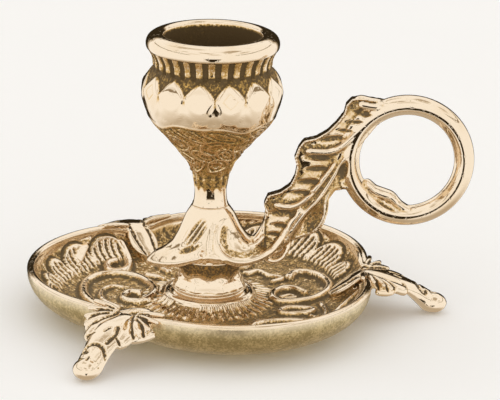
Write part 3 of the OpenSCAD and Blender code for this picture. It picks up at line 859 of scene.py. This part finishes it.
def collar(bm):
    """The bell under the cup: a long plume on the left and a leaf that runs into the arm."""
    top, seat = CUP_LOW[2], PEDESTAL_HIGH[2]
    kinds = [("hole", 0)] + [("outer", p) for p in np.linspace(0, 1, 30)]
    kinds += [("hem", a) for a in (30, 60, 90, 120, 150)]
    kinds += [("under", p) for p in np.linspace(0, 1, 8)] + [("base", 0)]
    # Each point of the loop first stands at the height of its number, which the spin keeps.
    spin(bm, [bm.verts.new((3 + 0.01 * i, 0, i)) for i in range(len(kinds))], 216, closed=True)
    hem = np.array(HEM)
    bell, plume = np.array(BELL_SIDE), np.array(PLUME_SIDE)
    for v in bm.verts:
        kind, p = kinds[int(round(v.co.z))]
        turn = math.atan2(v.co.y, v.co.x)
        away = abs(math.degrees(turn))
        reach = np.interp(away, hem[:, 0], hem[:, 1])
        low = np.interp(away, hem[:, 0], hem[:, 2])
        flare = min(max((reach - 9.05) / 6.0, 0), 1)
        if kind == "hole":
            r, z = ROD_R, top
        elif kind == "base":
            r, z = ROD_R, seat
        elif kind == "outer":
            steep, spread = np.interp(p, bell[:, 0], bell[:, 1]), np.interp(p, plume[:, 0], plume[:, 1])
            g = (1 - flare) * steep + flare * spread
            r, z = 4.35 + (reach - 0.5 - 4.35) * g, top - (top - low - 0.9) * p
        elif kind == "hem":
            r = reach - 0.9 + 0.9 * math.sin(math.radians(p))
            z = low + 0.9 * math.cos(math.radians(p))
        else:
            r = (reach - 0.95) * (1 - p) + COLLAR_SEAT_R * p
            z = (low - 0.85) * (1 - p) + seat * p
        v.co = Vector((r * math.cos(turn), r * math.sin(turn), z))


def ring(bm):
    """The finger ring: round outside, with a crest near its inner edge."""
    half = [(16.0, 0.0), (15.85, 0.95), (15.35, 1.75), (14.5, 2.3), (13.6, 2.5), (12.9, 2.45), (12.35, 1.95),
            (11.8, 1.3), (11.35, 0.65)]
    section = half + [(11.2, 0.0)] + [(r, -y) for r, y in reversed(half[1:])]
    curve = through(section + [section[0]], 0.3)[:-1]
    verts = [bm.verts.new((RING_X + r, y, RING_Z)) for r, y in curve]
    spin(bm, verts, 240, closed=True, centre=(RING_X, 0, RING_Z), axis=(0, 1, 0))


def make_handle():
    bm = bmesh.new()
    collar(bm)
    ring(bm)
    plate(bm, ARM_TOP + ARM_BACK, 1.7)
    for edge in STEP_EDGES:
        flat_bar(bm, [(x, z, breadth, EDGE_THICKNESS * thick) for x, z, breadth, thick in edge])
    for fold in FOLDS:
        flat_bar(bm, [(x, z, FOLD_BREADTH * breadth, thick) for x, z, breadth, thick in fold], FACE_RAISE)
    for sheath in SHEATHS:
        flat_bar(bm, sheath)
    flat_bar(bm, MIDRIB, FACE_RAISE)
    # The scrolled border of the collar leaf, from the neck round under the arm.
    mirrored_bar(bm, [
        (3.9, -2.6, 24.2, 0.7, 0.7), (2.6, -4.4, 22.9, 0.75, 0.7), (1.6, -5.6, 21.2, 0.8, 0.7),
        (1.3, -6.6, 19.4, 0.85, 0.7), (1.8, -7.5, 17.6, 0.9, 0.7), (3.1, -8.0, 16.0, 0.95, 0.75),
        (5.2, -7.8, 14.8, 1.0, 0.8), (7.4, -7.0, 14.3, 1.0, 0.8), (9.8, -5.8, 14.4, 1.0, 0.9),
        (12.4, -4.3, 15.0, 1.0, 0.9), (15.0, -3.0, 16.4, 0.95, 0.9), (17.0, -2.3, 18.8, 0.9, 0.8),
        (18.6, -2.0, 21.4, 0.85, 0.7), (20.2, -1.9, 24.0, 0.8, 0.7), (21.9, -1.8, 26.4, 0.7, 0.7)
    ], ALONG_Y)
    # Inner border of the same leaf, and the rib between the feathers and the scroll.
    mirrored_bar(bm, [
        (4.6, -3.2, 20.4, 0.5, 0.5), (5.3, -4.0, 18.4, 0.55, 0.5), (7.0, -4.2, 17.4, 0.6, 0.5),
        (9.2, -3.8, 17.2, 0.6, 0.5), (11.4, -3.1, 18.0, 0.6, 0.5), (13.0, -2.3, 19.8, 0.5, 0.5)
    ], ALONG_Y)
    mirrored_bar(bm, [(0.9, -5.0, 23.4, 0.4, 0.5), (0.3, -6.3, 21.0, 0.5, 0.5), (0.0, -7.4, 18.8, 0.5, 0.5),
                      (0.0, -8.4, 16.6, 0.5, 0.5)], ALONG_Y)
    mirrored_bar(bm, [
        (-1.0, -7.9, 17.0, 0.6, 0.5), (-1.7, -8.2, 16.6, 1.1, 0.7), (-2.5, -8.1, 16.3, 0.7, 0.5)
    ], ALONG_Y)
    # Small curl that hangs under the arm.
    mirrored_bar(bm, [
        (19.2, -1.0, 18.4, 0.6, 0.8), (18.4, -1.6, 15.8, 0.6, 0.8), (17.2, -2.0, 13.9, 0.6, 0.8),
        (15.2, -2.3, 13.2, 0.6, 0.8), (13.2, -2.2, 13.8, 0.6, 0.8)
    ], ALONG_Y)
    obj = fuse("handle_casting", bm, 0.27, 3)
    points, normals = points_of(obj), normals_of(obj)
    x, z, depth = points[:, 0], points[:, 2], np.abs(points[:, 1])
    seen = np.stack([x, z - 0.325 * depth], 1)
    sideways = smoothstep(0.25, 0.7, np.abs(normals[:, 1]))
    sunk = np.zeros(len(x))
    for place, half_long, half_high, tilt in ARM_HOLLOWS:
        sunk = np.maximum(sunk, hollow(seen[:, 0], seen[:, 1], place, half_long * 1.1, half_high, tilt))
    sunk *= sideways * (x > 12)
    move = -0.55 * sunk
    # The leaf's face slopes away from its midrib.
    midrib = through([place[:2] for place in MIDRIB], 0.8)
    face = sideways * (x > 13) * (x < 44) * (depth < 2.0) * smoothstep(14, 18, points[:, 2])
    face *= np.hypot(x - RING_X, points[:, 2] - RING_Z) > RING_R
    near = face > 0
    slope = np.zeros(len(x))
    slope[near] = np.clip(distance_to(midrib, seen[near])[0] - 1.2, 0, 5)
    move -= 0.2 * slope * face
    # Feather hollows on the bell, left of its middle rib.
    out = (x < 1.0) & (points[:, 2] > 13.5) & (points[:, 2] < 24.5) & (normals[:, 2] > -0.2)
    lines = np.zeros(len(x))
    for feather in FEATHERS:
        lines = np.maximum(lines, ridge(seen, through(feather, 0.5), 0.42, 1.0))
    fan = hollow(seen[:, 0], seen[:, 1], (-3.4, 19.2), 4.6, 2.2, 57)
    fan = np.maximum(fan, hollow(seen[:, 0], seen[:, 1], (-4.9, 15.2), 3.3, 1.1, 22)) * out
    move += -0.45 * fan + 0.42 * fan * lines
    # Stippled trough of the scrolled leaf.
    bed = through([(3.6, 20.4), (3.3, 17.6), (4.6, 14.9), (7.6, 14.0), (11.0, 14.9), (13.8, 17.4)], 0.5)
    trough = ridge(seen, bed, 1.5, 1.0) * (normals[:, 2] > -0.5)
    move -= 0.2 * trough
    points += normals * move[:, None]
    set_points(obj, points)
    mark_recesses(obj, 3, 12, 0.10, 0.5)
    ground_and_shade = np.clip(0.36 * sunk + 0.50 * fan * (1 - lines) + 0.36 * smoothstep(0.2, 0.8, trough), 0, 1)
    # Painted shade: the arm's face round the midrib gets a little dark ground, for the golden shade where it
    # slopes away.
    ground_and_shade = np.maximum(ground_and_shade, 0.15 * face)
    store(obj, "ground_and_shade", ground_and_shade)
    return obj


# ---------------------------------------------------------------- feet

# Dark furrows on a foot, seen from above: (places, half width). The paired ones lie on both sides.
PAIRED_FURROWS = [
    ([(31.0, 1.7), (34.4, 2.3), (37.4, 2.0), (40.4, 3.2), (43.0, 4.9), (44.0, 6.0)], 0.5),
    ([(37.3, 3.4), (37.4, 6.0), (37.7, 9.0)], 0.45), ([(38.2, 3.4), (39.2, 6.0), (40.2, 8.8)], 0.45),
    ([(39.2, 3.6), (41.0, 6.0), (42.4, 7.8)], 0.45), ([(47.6, 4.6), (46.4, 3.0)], 0.4),
    ([(29.2, 1.4), (32.0, 2.0), (35.2, 1.9)], 0.4)
]
SINGLE_FURROWS = [
    ([(44.4, 0.1), (45.8, -0.6)], 0.3), ([(43.6, 1.7), (46.0, 2.4), (48.6, 2.0)], 0.8),
    ([(51.0, 2.9), (50.2, 1.6), (50.0, -0.4), (50.6, -1.9), (51.7, -2.2), (52.2, -1.2)], 0.7),
    ([(53.4, 0.1), (54.4, 0.1)], 0.35)
]


def make_foot(name, angle):
    """A leaf that grips the rim and arches down to a rounded toe; drawn along +X, then turned."""
    bm = bmesh.new()
    # Main petal: the heel hugs the dish's wall, the middle is broad, the toe blunt.
    bar(bm, [
        (28.6, 0, 4.4, 2.0, 0.7), (30.5, 0, 5.3, 3.0, 0.8), (33.0, 0, 7.0, 3.8, 0.8),
        (35.2, 0, 8.7, 3.4, 0.8), (37.3, 0, 9.6, 2.5, 0.85), (39.8, 0, 9.5, 3.0, 0.9),
        (42.6, 0, 8.8, 4.0, 1.1), (45.4, 0, 7.7, 4.4, 1.3), (48.0, 0, 6.4, 3.8, 1.6),
        (50.2, 0, 4.9, 3.4, 2.0), (52.0, 0, 3.5, 3.3, 2.3), (53.2, 0, 2.7, 3.2, 2.45),
        (FOOT_TIP - 0.1, 0, 2.4, 3.1, 2.3)
    ], ALONG_Z)
    # Broad side lobes of the petal.
    mirrored_bar(bm, [(38.8, 2.2, 9.0, 1.6, 0.9), (41.0, 3.4, 8.6, 2.2, 1.0), (43.4, 4.1, 8.0, 2.1, 1.1),
                      (45.6, 4.2, 7.1, 1.7, 1.2), (47.4, 3.6, 6.2, 1.2, 1.1)], ALONG_Z)
    # Side leaves that lie along the rim: a web with four ribs fanning out from the petal's root.
    mirrored_bar(bm, [(36.6, 2.0, 9.6, 1.5, 0.7), (38.8, 4.4, 9.7, 2.6, 0.8), (40.3, 6.6, 9.2, 3.2, 0.85),
                      (40.8, 8.4, 8.9, 2.2, 0.7)], ALONG_Z)
    for middle, outer in (((36.5, 5.2, 11.2), (36.3, 9.6, 11.6)), ((38.3, 5.4, 10.8), (39.0, 9.6, 10.6)),
                          ((40.0, 5.4, 10.2), (41.5, 8.9, 9.5)), ((41.6, 5.2, 9.4), (43.6, 7.6, 8.2))):
        mirrored_bar(bm, [(37.0, 1.6, 10.3, 0.45, 0.5), middle + (0.7, 0.6), outer + (0.55, 0.55)], ALONG_Z)
    # Polished bar under the fan, that follows the rim outside.
    mirrored_bar(bm, [(44.0, 3.8, 7.2, 1.0, 1.0), (43.0, 5.9, 7.3, 1.3, 1.1), (41.2, 7.8, 7.7, 1.1, 1.0),
                      (39.4, 9.2, 8.3, 0.7, 0.8)], ALONG_Z)
    # Web let into the tray's wall.
    bar(bm, [
        (29.0, 0, 3.0, 1.6, 1.2), (33.0, 0, 5.2, 2.0, 1.8), (36.6, 0, 7.2, 2.6, 2.0),
        (40.5, 0, 7.2, 2.6, 1.6)
    ], ALONG_Z)
    obj = fuse(name, bm, 0.25, 3)
    points = points_of(obj)
    normals = normals_of(obj)
    x, y = points[:, 0], points[:, 1]
    along = np.stack([x, y], 1)
    top = normals[:, 2] > 0.1
    dark = np.zeros(len(x))
    for side in (1, -1):
        for line, width in PAIRED_FURROWS:
            dark = np.maximum(dark, ridge(along, through(line, 0.5) * (1, side), width, 1.0))
    for line, width in SINGLE_FURROWS:
        dark = np.maximum(dark, ridge(along, through(line, 0.5), width, 1.0))
    dark *= top
    points += normals * (-0.55 * dark)[:, None]
    points[:, 2] = np.maximum(points[:, 2], 0)
    set_points(obj, points)
    mark_recesses(obj, 3, 12, 0.10, 0.5)
    store(obj, "ground_and_shade", 0.7 * dark)
    obj.data.transform(Matrix.Rotation(math.radians(angle), 4, "Z"))
    return obj


# ---------------------------------------------------------------- stage, light and camera

def make_floor():
    bm = bmesh.new()
    bmesh.ops.create_grid(bm, x_segments=1, y_segments=1, size=3000)
    floor = to_object("floor", bm)
    floor.data.materials.append(plain("pale_floor", (0.985, 0.99, 0.995, 1), 0.8, metallic=0.0))
    floor.visible_glossy = False


def make_camera():
    """A long lens, 18 degrees above the horizon, aimed at the stem."""
    distance, height = 587.5 * MM, 218.5 * MM
    pitch, roll, yaw = 0.314, 0.021, 0.016
    ahead = Vector((math.sin(yaw) * math.cos(pitch), math.cos(yaw) * math.cos(pitch), -math.sin(pitch)))
    level = ahead.cross(Vector((0, 0, 1))).normalized()
    up = level.cross(ahead)
    right = math.cos(roll) * level + math.sin(roll) * up
    top = -math.sin(roll) * level + math.cos(roll) * up
    data = bpy.data.cameras.new("camera")
    data.sensor_width = 36
    data.lens = 187.2
    data.clip_start = 0.01
    cam = placed("camera", data)
    turn = Matrix((right, top, -ahead)).transposed().to_4x4()
    cam.matrix_world = Matrix.Translation((0, -distance, height)) @ turn
    bpy.context.scene.camera = cam


def make_light():
    """A white studio: bright all round, with dark gaps behind the camera and along the far horizon."""
    world = bpy.data.worlds.new("studio")
    bpy.context.scene.world = world
    world.use_nodes = True
    world.node_tree.nodes.clear()
    g = Graph(world.node_tree)
    out = g.add("ShaderNodeOutputWorld")
    direction = g.add("ShaderNodeTexCoord").outputs["Generated"]
    x, y, z = g.fed("ShaderNodeSeparateXYZ", {"Vector": direction}).outputs
    flat_x = g.calc("ABSOLUTE", x)
    # Dark opening in front, just below eye level: wide at the bottom, narrow at the top.
    lean = g.calc("ADD", flat_x, g.calc("MULTIPLY", z, -0.4))
    front = g.calc("MULTIPLY", g.ramp(lean, 0.28, 0.34, True), g.ramp(y, -0.3, -0.4))
    front = g.calc("MULTIPLY", front, g.ramp(z, -0.12, -0.16))
    front = g.calc("MULTIPLY", front, g.ramp(z, -0.66, -0.60))
    # Dark far wall, up to the height of the roof's edge.
    far = g.calc("MULTIPLY", g.ramp(y, 0.72, 0.86), g.ramp(z, 0.36, 0.46, True))
    # Thin gaps between the side panels and the roof.
    seam = g.calc("MULTIPLY", g.ramp(z, 0.40, 0.42), g.ramp(z, 0.46, 0.48, True))
    seam = g.calc("MULTIPLY", seam, g.ramp(flat_x, 0.55, 0.65))
    # The shaded table straight below.
    below = g.ramp(z, -0.45, -0.85)
    # Uneven panels: soft grey patches that give the polished metal its bands.
    patches = g.noise(direction, 2.6, 1.5)
    grey = g.calc("MULTIPLY", g.ramp(patches, 0.50, 0.64), g.ramp(z, 0.8, 0.5, True))
    dark = g.calc("MAXIMUM", front, far)
    for gap, strength in ((seam, 0.75), (below, 0.5), (grey, 0.55)):
        dark = g.calc("MAXIMUM", dark, g.calc("MULTIPLY", gap, strength))
    level = g.fed("ShaderNodeMapRange", {"Value": dark, "To Min": 1.0, "To Max": 0.03}).outputs["Result"]
    tint = g.mix(dark, (1.0, 0.985, 0.96, 1), (1.0, 0.72, 0.36, 1))
    back = g.fed("ShaderNodeBackground", {"Strength": level, "Color": tint})
    g.set(out.inputs["Surface"], back.outputs["Background"])


def main():
    make_camera()
    make_light()
    make_floor()
    cup_brass = brass("cup_brass", 0.7, patina=0.5, stipple=0.4, patina_colour=(0.13, 0.08, 0.027, 1),
                      warm_colour=(0.70, 0.43, 0.12, 1))
    stem_brass = brass("stem_brass", 0.7, patina=0.55, stipple=0.5, patina_colour=(0.18, 0.125, 0.06, 1))
    tray_brass = brass("tray_brass", 0.9, patina=0.75, stipple=0.45, patina_colour=(0.18, 0.125, 0.058, 1))
    finish_piece(make_cup(), cup_brass, "cup_brass", "candle_cup")
    finish_piece(make_pedestal(), stem_brass, "stem_brass", "pedestal")
    finish_piece(make_tray(), tray_brass, "tray_brass", "tray")
    leaf = brass("leaf_brass", 0.6, patina=0.8, patina_colour=(0.13, 0.09, 0.045, 1))
    steel = plain("plain_steel", (0.62, 0.62, 0.61, 1), 0.32)
    plain_brass = plain("plain_brass", (0.80, 0.60, 0.30, 1), 0.28)
    finish_piece(make_handle(), stem_brass, "stem_brass", "handle")
    for name, angle in (("foot_front", -120), ("foot_right", 0), ("foot_rear", 120)):
        finish_piece(make_foot(name + "_casting", angle), leaf, "leaf_brass", name)
    for name, metal in (("tie_rod", steel), ("washer", steel), ("nut", plain_brass)):
        node = frame["nodes"][name]
        node.data.materials.clear()
        node.data.materials.append(metal)
    view = bpy.context.scene.view_settings
    view.view_transform = "Standard"
    view.exposure = 0.12


main()
